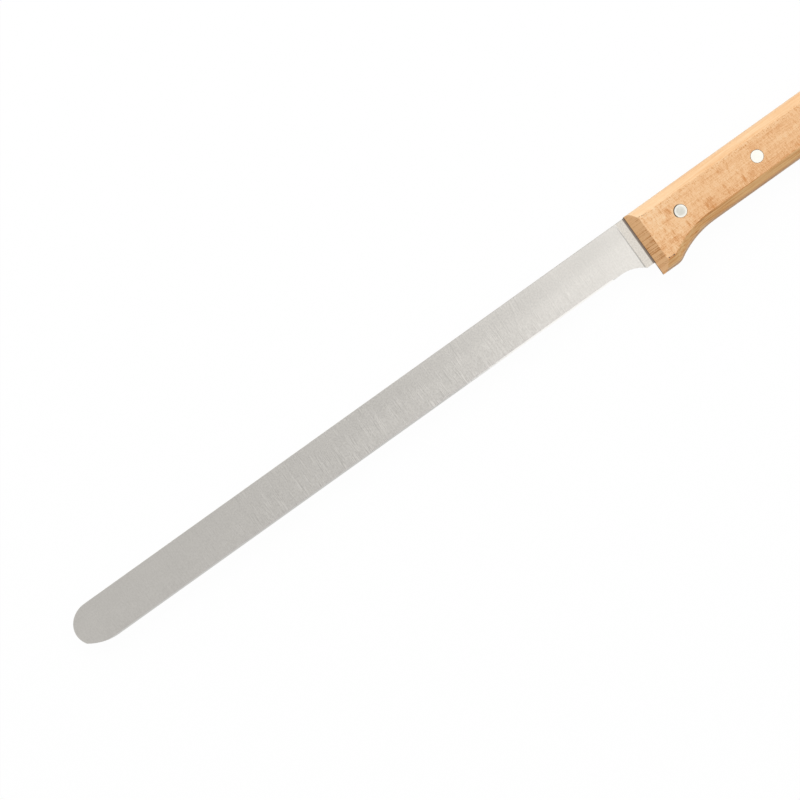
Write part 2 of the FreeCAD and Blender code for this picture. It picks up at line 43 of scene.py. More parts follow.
BLADE = "blade"
SCALES = ("left_scale", "right_scale")
RIVETS = tuple(sorted(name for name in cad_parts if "rivet" in name))
STAINED_RIVET = "front_rivet_sleeve"
HANDLE_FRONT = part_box("left_scale")[0].x
BLADE_LOW, BLADE_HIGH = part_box(BLADE)
MIDDLE_HEIGHT = (BLADE_LOW.z + BLADE_HIGH.z) / 2

# Direction from the middle of the front rivet towards the painted shadow in the gap at its edge.
STAIN_ALONG, STAIN_ACROSS = -0.81, 0.58
# Small dark scars in the upper face of the wood, in millimetres: place, half length, half width, share.
SCARS = (
    (93.6, -10.6, 0.5, 0.32, 0.85),
    (96.0, -10.75, 0.6, 0.3, 0.9),
    (95.6, 11.0, 1.7, 0.2, 0.3),
    (94.8, -10.7, 1.3, 0.18, 0.5),
    (93.2, 11.4, 0.4, 0.25, 0.6),
    (94.4, 11.2, 0.4, 0.2, 0.5),
    (114.4, -5.5, 1.8, 0.25, 0.3),
    (119.6, -5.0, 1.4, 0.22, 0.28),
)
# Deep patches in the flat of the wood, in millimetres: place, half length, half width, share.
DARK_PATCHES = (
    (104.3, 6.0, 2.2, 2.0, 0.36),
    (103.0, 3.6, 1.5, 2.2, 0.2),
    (101.0, -2.6, 1.2, 1.8, 0.28),
    (101.2, -5.0, 1.5, 2.5, 0.28),
    (108.8, -3.2, 0.8, 2.6, 0.3),
    (119.9, -1.4, 0.8, 4.2, 0.22),
    (122.3, -1.6, 2.4, 3.8, 0.18),
    (131.0, -1.2, 0.8, 4.4, 0.16),
    (133.0, 7.2, 2.0, 2.0, 0.18),
    (139.9, -1.0, 0.9, 2.9, 0.28),
    (144.5, -1.5, 2.5, 3.5, 0.12),
    (97.6, -8.4, 3.5, 1.6, 0.15),
)


def mm(*lengths):
    """Lengths in millimetres as lengths in metres."""
    return tuple(length * MM for length in lengths)


def screen_colour(red, green, blue):
    """Turns a colour as a screen shows it, 0 to 255, into the light values that shaders take."""
    shares = (value / 255 for value in (red, green, blue))
    return tuple(v / 12.92 if v <= 0.04045 else ((v + 0.055) / 1.055) ** 2.4 for v in shares)


def brighter(colour, factor):
    """A colour made lighter or darker by a factor."""
    return tuple(min(1.0, value * factor) for value in colour)


def spread(first, second):
    """The square of the distance that two steps at right angles make."""
    return first * first + second * second


def from_stained_rivet(x, y):
    """The squared distance from the front rivet's middle, and how far a point lies towards the painted shadow
    at its edge.
    """
    low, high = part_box(STAINED_RIVET)
    centre = (low + high) / 2 * PER_MM
    along, across = x - centre.x, y - centre.y
    return spread(along, across), across * STAIN_ACROSS + along * STAIN_ALONG


def colour_property(name, description, default):
    """A colour that a user can change."""
    return FloatVectorProperty(
        name=name, description=description, default=default, size=3, min=0, max=1, subtype="COLOR"
    )


def length_property(name, description, millimetres):
    """A length that a user can change, given here in millimetres."""
    return FloatProperty(
        name=name, description=description, default=millimetres * MM, min=0, unit="LENGTH", precision=5
    )


def share_property(name, description, default):
    """A share between 0 and 1 that a user can change."""
    return FloatProperty(name=name, description=description, default=default, min=0, max=1, subtype="FACTOR")


def power_property(name, description, default):
    """The power of a lamp that a user can change."""
    return FloatProperty(name=name, description=description, default=default, min=0, unit="POWER")


def strength_property(name, description, default):
    """The strength of an even light that a user can change."""
    return FloatProperty(name=name, description=description, default=default, min=0)


class SteelSettings(PropertyGroup):
    """Finish of the ground blade."""

    ground: colour_property("Ground steel", "Flat ground faces of the blade", (0.79, 0.762, 0.716))
    heel: colour_property("Heel", "Unground strip ahead of the handle", (0.73, 0.688, 0.625))
    spine: colour_property("Spine", "Back of the blade and its rounded edges", (0.76, 0.735, 0.69))
    bevel: colour_property("Bevel", "Polished strip along the cutting edge", (0.95, 0.93, 0.9))
    tang: colour_property("Tang", "Edge of the steel between the scales", (0.5, 0.48, 0.45))
    # Painted shadow on the steel where it enters the wood, and its width.
    joint: colour_property("Joint", "Dark line where the steel enters the wood", (0.14, 0.095, 0.07))
    joint_width: length_property("Joint width", "Width of the dark line on the steel", 0.95)
    line_width: length_property("Line width", "Width of the grinding lines across the blade", 0.27)
    line_length: length_property("Line length", "Length of the grinding lines", 9.0)
    line_depth: length_property("Line depth", "Depth of the grinding lines", 0.012)
    roughness: share_property("Roughness", "How matt the ground faces are", 0.32)


class BeechSettings(PropertyGroup):
    """Finish of the handle scales."""

    pale: colour_property("Pale wood", "Lightest wood", screen_colour(250, 218, 177))
    middling: colour_property("Middling wood", "Most of the wood", screen_colour(240, 192, 142))
    deep: colour_property("Deep wood", "Darkest flecks and patches", screen_colour(205, 137, 74))
    # The low side colour is a painted shade: a darker, warmer tint of the lower chamfer, which faces away
    # from the light.
    low_side: colour_property("Low side", "Warm shade of the lower chamfer", (0.98, 0.905, 0.7))
    guard_side: colour_property("Guard side", "Warmer shade of that chamfer at the guard", (1.0, 0.98, 0.96))
    end_grain: colour_property("End grain", "Cut ends of the fibres", screen_colour(251, 199, 144))
    # This dark colour also paints the painted shade on the low side and the painted shadow at the front
    # rivet.
    seam: colour_property("Seam", "Dark line where the wood meets the blade", screen_colour(92, 68, 50))
    seam_width: length_property("Seam width", "Width of the dark line at the blade", 0.3)
    fleck_length: length_property("Fleck length", "Fleck size along the grain", 0.5)
    fleck_width: length_property("Fleck width", "Fleck size across the grain, on the flat face", 3.2)
    fleck_depth: length_property("Fleck thickness", "Thickness of a fleck on the narrow sides", 0.25)
    ring_width: length_property("Ring width", "Width of the bands along the grain", 2.4)
    end_line_width: length_property("End line width", "Width of the lines in the end grain", 0.34)
    roughness: share_property("Roughness", "How matt the varnish is", 0.42)


class RivetSettings(PropertyGroup):
    """Finish of the rivets."""

    metal: colour_property("Aluminium", "Sanded rivet heads", (0.86, 0.845, 0.775))
    # Painted shade: the darker, mottled middle of the front rivet, as a domed head shows it.
    worn: colour_property("Worn aluminium", "Dull middle of the front rivet", (0.63, 0.62, 0.56))
    # Painted shadow in the gap at the front rivet's edge.
    stain: colour_property("Stain", "Dark edge of the front rivet", (0.06, 0.06, 0.065))
    scratch_width: length_property("Scratch width", "Width of the sanding lines along the handle", 0.12)
    scratch_length: length_property("Scratch length", "Length of the sanding lines", 3.0)
    roughness: share_property("Roughness", "How matt the heads are", 0.32)


class StudioSettings(PropertyGroup):
    """Floor, light and camera."""

    floor_size: length_property("Floor size", "Side of the square floor", 6000.0)
    floor: colour_property("Floor", "Plain pale floor", (0.97, 0.97, 0.97))
    floor_bounce: colour_property("Floor bounce", "Floor as the light on the knife finds it", (0.5, 0.5, 0.5))
    floor_glow: share_property("White share", "How much of the floor's look is plain white", 0.965)
    room_above: strength_property("Light above", "Even light from overhead", 0.6)
    room_around: strength_property("Light around", "Even light from the sides", 0.32)
    key_power: power_property("Key light", "Lamp on the spine side", 24.5)
    top_power: power_property("Top light", "Lamp over the handle", 4.0)
    edge_power: power_property("Edge light", "Lamp on the edge side", 0.65)
    view_width: length_property("View width", "Width of the picture at the blade", 350.07)
    view_distance: length_property("Camera distance", "Camera above the blade", 1000.0)
    view_roll: FloatProperty(
        name="Roll",
        description="Turn of the knife in the picture",
        default=math.radians(35.56),
        subtype="ANGLE",
    )
    view_centre: FloatVectorProperty(
        name="Centre",
        description="Point of the knife at the centre of the picture",
        default=(-37.5 * MM, 7.12 * MM, MIDDLE_HEIGHT),
        subtype="TRANSLATION",
    )


class KnifeSettings(PropertyGroup):
    """All that the panel shows."""

    steel: PointerProperty(type=SteelSettings)
    beech: PointerProperty(type=BeechSettings)
    rivets: PointerProperty(type=RivetSettings)
    studio: PointerProperty(type=StudioSettings)


class Signal:
    """A shader value: sums, differences, products and shares of signals become Math nodes."""

    def __init__(self, finish, socket):
        self.finish = finish
        self.socket = socket

    def maths(self, operation, first, second=0.0):
        return self.finish.node("ShaderNodeMath", {"operation": operation}, {0: first, 1: second})

    def __add__(self, other):
        return self.maths("ADD", self, other)

    __radd__ = __add__

    def __sub__(self, other):
        return self.maths("SUBTRACT", self, other)

    def __rsub__(self, other):
        return self.maths("SUBTRACT", other, self)

    def __mul__(self, other):
        return self.maths("MULTIPLY", self, other)

    __rmul__ = __mul__

    def __truediv__(self, other):
        return self.maths("DIVIDE", self, other)

    def __rtruediv__(self, other):
        return self.maths("DIVIDE", other, self)

    def __abs__(self):
        return self.maths("ABSOLUTE", self)

    def larger(self, other):
        """The larger of two signals."""
        return self.maths("MAXIMUM", self, other)

    def swing(self, share=1.0):
        """How far a noise is from its middle value, times a share."""
        return (self - 0.5) * share


class Finish:
    """Builds the nodes of one material or of the world."""

    def __init__(self, owner):
        owner.use_nodes = True
        self.owner = owner
        self.tree = owner.node_tree
        self.tree.nodes.clear()

    def node(self, kind, settings=None, sockets=None, output=0):
        """Adds a node, sets it up, fills its sockets with values or links, and gives one of its outputs."""
        node = self.tree.nodes.new(kind)
        for name, value in (settings or {}).items():
            setattr(node, name, value)
        for name, value in (sockets or {}).items():
            if isinstance(value, Signal):
                self.tree.links.new(value.socket, node.inputs[name])
            else:
                node.inputs[name].default_value = value
        return Signal(self, node.outputs[output])

    def place(self):
        """Where a point of the knife is, in millimetres, as three signals."""
        inside = self.node("ShaderNodeTexCoord", output="Object")
        scaled = self.node("ShaderNodeMapping", sockets={"Vector": inside, "Scale": (PER_MM,) * 3})
        return self.parts(scaled)

    def facing(self):
        """The direction that the surface faces, as three signals."""
        return self.parts(self.node("ShaderNodeTexCoord", output="Normal"))

    def parts(self, vector):
        """The three parts of a vector."""
        split = self.node("ShaderNodeSeparateXYZ", sockets={"Vector": vector}).socket.node
        return [Signal(self, socket) for socket in split.outputs]

    def noise(self, size, detail=2.0, roughness=0.5, turn=0.0):
        """Noise with spots of a size, in metres, along, across and through the knife, leaning by a turn."""
        inside = self.node("ShaderNodeTexCoord", output="Object")
        sockets = {"Vector": inside, "Scale": size, "Rotation": (0, 0, turn)}
        stretched = self.node("ShaderNodeMapping", {"vector_type": "TEXTURE"}, sockets)
        sockets = {"Vector": stretched, "Scale": 1.0, "Detail": detail, "Roughness": roughness}
        return self.node("ShaderNodeTexNoise", sockets=sockets)

    def step(self, value, start, end):
        """A soft step from 0 at the start to 1 at the end."""
        limits = {
            "From Min": min(start, end),
            "From Max": max(start, end),
            "To Min": float(start > end),
            "To Max": float(end > start),
        }
        settings = {"interpolation_type": "SMOOTHSTEP"}
        return self.node("ShaderNodeMapRange", settings, {"Value": value, **limits})

    def band(self, value, middle, outer, inner):
        """A soft band: 1 within the inner distance from its middle, 0 beyond the outer one."""
        return self.step(abs(value - middle), outer, inner)

    @staticmethod
    def at_least(least, share):
        """A share that never falls below the least one."""
        return least + (1 - least) * share

    def mix(self, share, first, second, blend="MIX"):
        """A colour between two others."""
        sockets = {MIX_SHARE: share, MIX_FIRST: self.opaque(first), MIX_SECOND: self.opaque(second)}
        return self.node("ShaderNodeMix", {"data_type": "RGBA", "blend_type": blend}, sockets, MIX_RESULT)

    def shade(self, share, colour, shade):
        """A colour under a coloured shade."""
        return self.mix(share, colour, shade, "MULTIPLY")

    @staticmethod
    def opaque(colour):
        """A colour with the opacity that colour sockets ask for."""
        return colour if isinstance(colour, Signal) else (*colour, 1.0)

    def relief(self, height, depth):
        """The surface direction over a relief of some depth."""
        return self.node("ShaderNodeBump", sockets={"Height": height, "Distance": depth, "Strength": 1.0})

    def surface(self, **sockets):
        """Adds the surface shader and its output, and gives the finished material."""
        named = {name.replace("_", " "): value for name, value in sockets.items()}
        self.show("ShaderNodeOutputMaterial", self.node("ShaderNodeBsdfPrincipled", sockets=named))
        return self.owner

    def show(self, kind, shader):
        """Adds an output node and links a shader to it."""
        end = self.tree.nodes.new(kind)
        self.tree.links.new(shader.socket, end.inputs["Surface"])


class GroundSteel(Finish):
    """The blade's steel: ground faces with lines across them, a plain heel, a bright bevel and the tang."""

    # Soft steps from where a share is 0 to where it is 1, along the knife in millimetres.
    LINES_FROM_TIP = (-165, -90)
    LINES_FROM_HEEL = (75, 10)
    SHADED_PART = (-130, 10)
    TOWARD_HEEL = (45, 75)
    TOWARD_TIP = (-170, -200)
    HEEL = (83.6, 83.9)
    # The same from the front of the handle and from the start of the painted shadow on the steel.
    TANG = (0.4, 1.0)
    JOINT = (-0.15, 0.2)
    # The same across the knife.
    LOWER_HALF = (13, 3)
    UPPER_HALF = (3.5, 10)
    UNDER_SPINE = (12, 14)
    # The same by the direction that the surface faces.
    FLAT = (0.9, 0.985)
    BEVEL_TOP = (-0.15, -0.25)
    BEVEL_FOOT = (-0.6, -0.45)
    SPINE = (0.12, 0.35)
    # The same by the value of a noise, and bands of it that show as single scratches.
    CLUSTER = (0.42, 0.6)
    PALE_SCRATCH = (0.535, 0.035, 0.0)
    DARK_SCRATCH = (0.465, 0.035, 0.0)
    # Least share of the lines outside their part of the blade, on its upper half and between the clusters.
    LEAST_AT_ENDS, LEAST_ABOVE, LEAST_BETWEEN = 0.2, 0.45, 0.15
    # Sizes of the noises along, across and through the knife, in metres, and the hairs as parts of the lines.
    CLUSTER_SIZE, SCORE_SIZE = mm(3.6, 10, 8), mm(1.9, 60, 60)
    CLOUD_SIZE, GRAIN_SIZE = mm(24, 10, 20), mm(0.6, 0.8, 1)
    LINE_THICKNESS, HAIR_WIDTH, HAIR_LENGTH = 2 * MM, 0.4, 0.5
    # Turn of the lines and of the scratches away from square to the blade, in radians.
    LINE_TURN, SCRATCH_TURN = 0.02, -0.04
    # Shares in the tone of the steel.
    LINE_TONE, SCRATCH_TONE, HAIR_TONE, LEAST_HAIR_TONE = 1.5, 0.42, 2.0, 0.2
    CLOUD_TONE, GRAIN_TONE = 0.3, 0.66
    # Painted shade over the upper half towards the heel, less of it under the spine, painted shade near the
    # heel, and painted light towards the tip: they stand in for the light that the blade reflects.
    UPPER_SHADE, SPINE_LIGHT, HEEL_SHADE, TIP_LIGHT = 0.2, 0.4, 0.08, 0.06
    # Darkest and lightest ground steel and heel, as factors.
    GROUND_DARK, GROUND_LIGHT = 0.84, 1.16
    HEEL_DARK, HEEL_LIGHT = 0.93, 1.07
    # Strength of the heel's grain, and share of the painted shadow on the steel at the handle.
    HEEL_GRAIN, JOINT_SHARE = 4, 0.82
    # Changes of the roughness, height of the hairs beside the lines, and tint of steel seen along its face.
    LINE_ROUGH, HEEL_ROUGH, SIDE_ROUGH, BEVEL_POLISH = 0.1, 0.04, 0.16, 0.3
    HAIR_RELIEF = 0.25
    SPECULAR_TINT = (0.6, 0.6, 0.6, 1.0)

    def __init__(self, steel):
        super().__init__(bpy.data.materials.new("ground_steel"))
        self.steel = steel
        self.x, self.y = self.place()[:2]
        self.toward_spine, up = self.facing()[1:]
        self.face = self.step(abs(up), *self.FLAT)
        self.heel = self.step(self.x, *self.HEEL) * self.face
        self.ground = self.face * (1 - self.heel)
        self.middle = self.step(self.x, *self.LINES_FROM_TIP) * self.step(self.x, *self.LINES_FROM_HEEL)

        width, length = steel.line_width, steel.line_length
        line_size = (width, length, self.LINE_THICKNESS)
        hair_size = (width * self.HAIR_WIDTH, length * self.HAIR_LENGTH, self.LINE_THICKNESS)
        self.lines = self.noise(line_size, detail=1.5, roughness=0.6, turn=self.LINE_TURN)
        self.hairs = self.noise(hair_size, detail=1.0, turn=self.LINE_TURN)
        self.grain = self.noise(self.GRAIN_SIZE)
        self.shown = self.lines_shown()

    def lines_shown(self):
        """How strongly the lines show: most low on the middle of the blade, and in clusters."""
        clusters = self.step(self.noise(self.CLUSTER_SIZE, detail=1.0), *self.CLUSTER)
        low = self.at_least(self.LEAST_ABOVE, self.step(self.y, *self.LOWER_HALF))
        within = self.at_least(self.LEAST_AT_ENDS, self.middle)
        return within * low * self.at_least(self.LEAST_BETWEEN, clusters)

    def tone(self):
        """How much lighter the ground steel is than its middle tone, with painted shade on its upper half and
        near the heel and painted light towards the tip.
        """
        clouds = self.noise(self.CLOUD_SIZE)
        scores = self.noise(self.SCORE_SIZE, detail=0.0, turn=self.SCRATCH_TURN)
        scratch = self.band(scores, *self.PALE_SCRATCH) - self.band(scores, *self.DARK_SCRATCH)
        tone = (self.lines.swing(self.LINE_TONE) + scratch * self.SCRATCH_TONE) * self.shown
        tone = tone + self.hairs.swing() * (self.LEAST_HAIR_TONE + self.HAIR_TONE * self.shown)
        tone = tone + clouds.swing(self.CLOUD_TONE) + self.grain.swing(self.GRAIN_TONE) * (1 + self.middle)

        # Painted shade on the upper half and near the heel, and painted light towards the tip.
        shaded = self.step(self.x, *self.SHADED_PART) * self.step(self.y, *self.UPPER_HALF)
        shaded = shaded * (1 - self.SPINE_LIGHT * self.step(self.y, *self.UNDER_SPINE))
        tone = tone - shaded * self.UPPER_SHADE - self.step(self.x, *self.TOWARD_HEEL) * self.HEEL_SHADE
        return tone + self.step(self.x, *self.TOWARD_TIP) * self.TIP_LIGHT

    def into_handle(self, colour):
        """Adds a painted shadow on the steel where it enters the wood, and the duller edge of the tang."""
        front = HANDLE_FRONT * PER_MM
        tang = self.step(self.x - front, *self.TANG)
        joint_start = front - self.steel.joint_width * PER_MM
        joint = self.step(self.x - joint_start, *self.JOINT) * (1 - tang)
        colour = self.mix(tang, colour, self.steel.tang)
        return self.mix(joint * self.JOINT_SHARE, colour, self.steel.joint)

    def complete(self):
        """Joins the parts of the finish and gives the material."""
        steel = self.steel
        dark, light = (brighter(steel.ground, factor) for factor in (self.GROUND_DARK, self.GROUND_LIGHT))
        colour = self.mix(0.5 + self.ground * self.tone(), dark, light)
        dark, light = (brighter(steel.heel, factor) for factor in (self.HEEL_DARK, self.HEEL_LIGHT))
        colour = self.mix(self.heel, colour, self.mix(0.5 + self.grain.swing(self.HEEL_GRAIN), dark, light))
        bevel = self.step(self.toward_spine, *self.BEVEL_TOP) * self.step(self.toward_spine, *self.BEVEL_FOOT)
        colour = self.mix(bevel, colour, steel.bevel)
        colour = self.mix(self.step(self.toward_spine, *self.SPINE), colour, steel.spine)
        colour = self.into_handle(colour)

        roughness = steel.roughness + self.lines.swing(self.LINE_ROUGH) * self.ground
        roughness = roughness + self.heel * self.HEEL_ROUGH
        roughness = roughness + (1 - self.face) * self.SIDE_ROUGH - bevel * self.BEVEL_POLISH
        height = self.ground * (self.lines * self.shown + self.hairs * self.HAIR_RELIEF)
        return self.surface(
            Base_Color=colour,
            Metallic=1.0,
            Roughness=roughness,
            Specular_Tint=self.SPECULAR_TINT,
            Normal=self.relief(height, steel.line_depth),
        )


class VarnishedBeech(Finish):
    """The scales' beech: figure and flecks, end grain, painted shade on the low side, a painted shadow at the
    front rivet, small scars and a dark line at the blade.
    """

    # Soft steps from where a share is 0 to where it is 1, along the knife in millimetres.
    GUARD = (116, 106)
    GUARD_CHAMFER = (112, 102)
    TOWARD_FRONT = (120, 96)
    # The same across the knife.
    TOWARD_EDGE = (4, -12)
    TOWARD_SPINE = (8.5, 12.5)
    TOP_OF_END = (8.5, 13)
    BESIDE_BLADE = (-9.3, -8.7)
    ABOVE_HEEL = (-9.4, -8.8)
    # The same through the knife.
    UPPER_SIDE = (MIDDLE_HEIGHT * PER_MM, MIDDLE_HEIGHT * PER_MM + 1)
    # The same by the direction that the surface faces.
    FLAT = (0.75, 0.97)
    CUT_END = (0.45, 0.78)
    LOW_SIDE = (-0.2, -0.6)
    HIGH_SIDE = (0.2, 0.6)
    ARRIS_TOP = (-0.08, -0.3)
    ARRIS_FOOT = (-0.62, -0.45)
    CHAMFER = (0.58, 0.69)
    UNDER_CHAMFER = (0.66, 0.4)
    ABOVE_WALL = (0.02, 0.2)
    # The same by the value of a noise.
    FLECK = (0.52, 0.72)
    PATCH = (0.5, 0.75)
    VEIN = (0.4, 0.65)
    ARRIS_VEIN = (0.42, 0.6)
    TICK = (0.55, 0.7)
    SCORE = (0.46, 0.6)
    # The same by the square of the distance from a mark's middle, as a part of its size.
    PATCH_EDGE = (1.0, 0.0)
    SCAR_EDGE = (1.2, 0.4)
    # The same in millimetres from the front rivet's middle: the painted shadow's outer edge, squared, and its
    # side.
    STAIN_EDGE = (3.4 ** 2, 3.1 ** 2)
    STAIN_SIDE = (0.4, 2.2)
    # Soft bands with their middle and their outer and inner half width, along the knife in millimetres.
    GUARD_CURVE = (108, 8, 3)
    # The same across the knife.
    TICK_ROW = (10.2, 1.0, 0.2)
    FOOT_LINE = (-9.0, 0.5, 0.1)
    BURNT_END = (-3.9, 3.4, 0.8)
    # The same through the knife.
    SEAM_BAND = (MIDDLE_HEIGHT * PER_MM, 2.9, 2.3)
    # Length over which the dark line at the blade ends, in millimetres.
    SEAM_EDGE = 0.35
    # Sizes of the noises along, across and through the knife, in metres.
    WAVE_SIZE, WEAVE_SIZE, STIPPLE_SIZE = mm(1.7, 3.6, 3.6), mm(0.45, 3.0, 0.4), mm(0.5, 0.45, 0.4)
    STREAK_SIZE, VEIN_SIZE, FIBRE_SIZE = mm(9, 0.45, 0.4), mm(30, 0.8, 0.8), mm(4, 0.22, 0.22)
    PATCH_SIZE, PORE_SIZE = mm(6, 5, 5), mm(0.6, 0.5, 0.5)
    RING_LENGTH, RING_THICKNESS, END_LINE_LENGTH = mm(90, 9, 40)
    # Lean of the waves and flecks on the flat face, in radians.
    WAVE_TURN, FLECK_TURN = 0.2, 0.12
    # Shares in the depth of the wood's colour: 0 is pale, a half is middling and 1 is deep.
    MIDDLE_DEPTH, RING_DEPTH, STREAK_DEPTH, CALMER_STREAKS = 0.57, 0.4, 0.6, 0.1
    WAVE_DEPTH, GUARD_WAVE_DEPTH, STIPPLE_DEPTH, WEAVE_DEPTH = 0.28, 0.7, 0.8, 0.4
    FLECK_DEPTH, GUARD_FLECK_DEPTH, FLECK_COVER, PATCH_DEPTH, FIGURE_BASE = 0.18, 0.08, 0.15, 0.12, -0.02
    LEAST_FIGURE, LEAST_MARK, TICK_DEPTH, ARRIS_DEPTH = 0.3, 0.4, 0.35, 0.5
    EDGE_DEPTH, FRONT_PALE, SPINE_PALE = 0.15, 0.14, 0.12
    LOW_VEIN_DEPTH, LOW_PALE, CURVE_DEPTH, GUARD_PALE = 0.4, 0.3, 0.13, 0.06
    HIGH_VEIN_DEPTH, HIGH_PALE = 0.7, 0.08
    # Shares in the depth of the end grain.
    SCORE_DEPTH, END_PATCH_DEPTH, PORE_DEPTH, END_BASE = 0.95, 0.55, 1.7, -0.4
    FOOT_DEPTH, BURNT_DEPTH, TOP_PALE = 0.3, 0.25, 0.4
    # Shares of the dark colour: the line at the blade, the painted shadow at the front rivet, and painted
    # shade on the low wall and on the rounding above it.
    SEAM_SHARE, STAIN_SHARE, WALL_GRIME, ARRIS_GRIME = 0.92, 0.85, 0.07, 0.2
    # Changes of the roughness, heights in the relief, its depth in metres, and the varnish.
    FIBRE_ROUGH, END_ROUGH, FLECK_ROUGH = 0.12, 0.1, 0.05
    FIBRE_HEIGHT, STIPPLE_HEIGHT, RELIEF_DEPTH = 0.6, 0.5, 0.02 * MM
    COAT, COAT_ROUGH, GLOSS = 0.06, 0.3, 0.3

    def __init__(self, beech):
        super().__init__(bpy.data.materials.new("varnished_beech"))
        self.beech = beech
        self.x, self.y, self.z = self.place()
        along, self.toward_spine, up = self.facing()
        self.up = abs(up)
        self.face = self.step(self.up, *self.FLAT)
        self.ends = self.step(abs(along), *self.CUT_END)
        self.low_side = self.step(self.toward_spine, *self.LOW_SIDE)
        self.at_guard = self.step(self.x, *self.GUARD)

        fleck_size = (beech.fleck_length, beech.fleck_width, beech.fleck_depth)
        self.waves = self.noise(self.WAVE_SIZE, detail=3.0, roughness=0.65, turn=self.WAVE_TURN)
        self.stipple = self.noise(self.STIPPLE_SIZE)
        self.veins = self.noise(self.VEIN_SIZE, roughness=0.6)
        self.fibres = self.noise(self.FIBRE_SIZE)
        self.pores = self.noise(self.PORE_SIZE)
        self.fleck = self.step(self.noise(fleck_size, turn=self.FLECK_TURN), *self.FLECK)
        self.patch = self.step(self.noise(self.PATCH_SIZE, roughness=0.6), *self.PATCH)

    def figure(self):
        """The figure across the grain, which the flat face shows best."""
        weave = self.noise(self.WEAVE_SIZE, detail=1.0)
        figure = self.waves.swing() * (self.WAVE_DEPTH + self.GUARD_WAVE_DEPTH * self.at_guard)
        figure = figure + self.stipple.swing(self.STIPPLE_DEPTH) + weave.swing(self.WEAVE_DEPTH)
        flecks = self.FLECK_DEPTH + self.GUARD_FLECK_DEPTH * self.at_guard
        figure = figure + (self.fleck - self.FLECK_COVER) * flecks
        return figure + self.patch * self.PATCH_DEPTH + self.FIGURE_BASE

    def depth(self):
        """How deep the colour of the wood is."""
        ring_size = (self.RING_LENGTH, self.beech.ring_width, self.RING_THICKNESS)
        rings = self.noise(ring_size, detail=3.0, roughness=0.55)
        streaks = self.noise(self.STREAK_SIZE, detail=1.0)
        depth = self.MIDDLE_DEPTH + rings.swing(self.RING_DEPTH)
        depth = depth + streaks.swing() * (self.STREAK_DEPTH - self.CALMER_STREAKS * self.face)
        depth = depth + self.figure() * self.at_least(self.LEAST_FIGURE, self.face)
        depth = depth + self.step(self.y, *self.TOWARD_EDGE) * self.EDGE_DEPTH
        depth = depth - self.step(self.y, *self.TOWARD_SPINE) * self.SPINE_PALE
        depth = depth - self.step(self.x, *self.TOWARD_FRONT) * self.FRONT_PALE
        return depth + self.on_flat() + self.on_sides()

    def on_flat(self):
        """Deeper patches and a row of ticks in the flat face."""
        patches = 0.0
        for distance, share in self.from_marks(DARK_PATCHES):
            patches = self.step(distance, *self.PATCH_EDGE) * share + patches
        ticks = self.step(self.stipple, *self.TICK) * self.band(self.y, *self.TICK_ROW)
        return self.face * (patches * (self.LEAST_MARK + self.waves) + ticks * self.TICK_DEPTH)

    def on_sides(self):
        """Veins along the chamfers and along the arris below the flat face."""
        low = self.step(self.veins, *self.VEIN) * self.LOW_VEIN_DEPTH - self.LOW_PALE
        low = low + self.band(self.x, *self.GUARD_CURVE) * self.CURVE_DEPTH - self.at_guard * self.GUARD_PALE
        high = self.veins.swing(self.HIGH_VEIN_DEPTH) - self.HIGH_PALE
        sides = self.low_side * low + self.step(self.toward_spine, *self.HIGH_SIDE) * high
        arris = self.step(self.toward_spine, *self.ARRIS_TOP) * self.step(self.toward_spine, *self.ARRIS_FOOT)
        return sides + arris * self.step(self.veins, *self.ARRIS_VEIN) * self.ARRIS_DEPTH

    def end_grain(self):
        """The colour of the sloping front and the butt, scored by the cut fibres."""
        line_size = (self.END_LINE_LENGTH, self.beech.end_line_width, self.END_LINE_LENGTH)
        end_lines = self.noise(line_size, roughness=0.6)
        depth = self.step(end_lines, *self.SCORE) * self.SCORE_DEPTH + self.pores.swing(self.PORE_DEPTH)
        depth = depth + self.patch * self.step(self.y, *self.BESIDE_BLADE) * self.END_PATCH_DEPTH
        depth = depth + self.band(self.y, *self.FOOT_LINE) * self.FOOT_DEPTH
        depth = depth + self.band(self.y, *self.BURNT_END) * self.BURNT_DEPTH
        depth = depth - self.step(self.y, *self.TOP_OF_END) * self.TOP_PALE + self.END_BASE
        return self.mix(depth.larger(0.0), self.beech.end_grain, self.beech.deep)

    def darkness(self):
        """The share of the dark colour: the line at the blade, painted shade on the low side under the
        chamfer, and a painted shadow at the front rivet with small scars.
        """
        seam_end = (HANDLE_FRONT + self.beech.seam_width) * PER_MM
        seam = self.step(self.x, seam_end, seam_end - self.SEAM_EDGE) * self.step(self.y, *self.ABOVE_HEEL)
        seam = seam * self.band(self.z, *self.SEAM_BAND) * self.SEAM_SHARE
        # Painted shade on the low side below the chamfer, which faces away from the light.
        grime = self.WALL_GRIME + self.ARRIS_GRIME * self.step(self.up, *self.ABOVE_WALL)
        grime = grime * self.low_side * self.step(self.up, *self.UNDER_CHAMFER)
        return seam.larger(grime).larger(self.wear())

    def wear(self):
        """On the upper side: a painted shadow in the gap at the front rivet, and small scars."""
        from_rivet, toward_stain = from_stained_rivet(self.x, self.y)
        ring = self.step(from_rivet, *self.STAIN_EDGE)
        wear = ring * self.step(toward_stain, *self.STAIN_SIDE) * self.STAIN_SHARE
        for distance, share in self.from_marks(SCARS):
            wear = wear.larger(self.step(distance, *self.SCAR_EDGE) * share)
        return wear * self.step(self.z, *self.UPPER_SIDE)

    def from_marks(self, marks):
        """For each mark, the square of the distance from its middle as a part of its size, and its share."""
        for middle_x, middle_y, half_length, half_width, share in marks:
            yield spread((self.x - middle_x) / half_length, (self.y - middle_y) / half_width), share

    def complete(self):
        """Joins the parts of the finish and gives the material."""
        beech = self.beech
        depth = self.depth()
        colour = self.mix(depth * 2, beech.pale, beech.middling)
        colour = self.mix(depth * 2 - 1, colour, beech.deep)
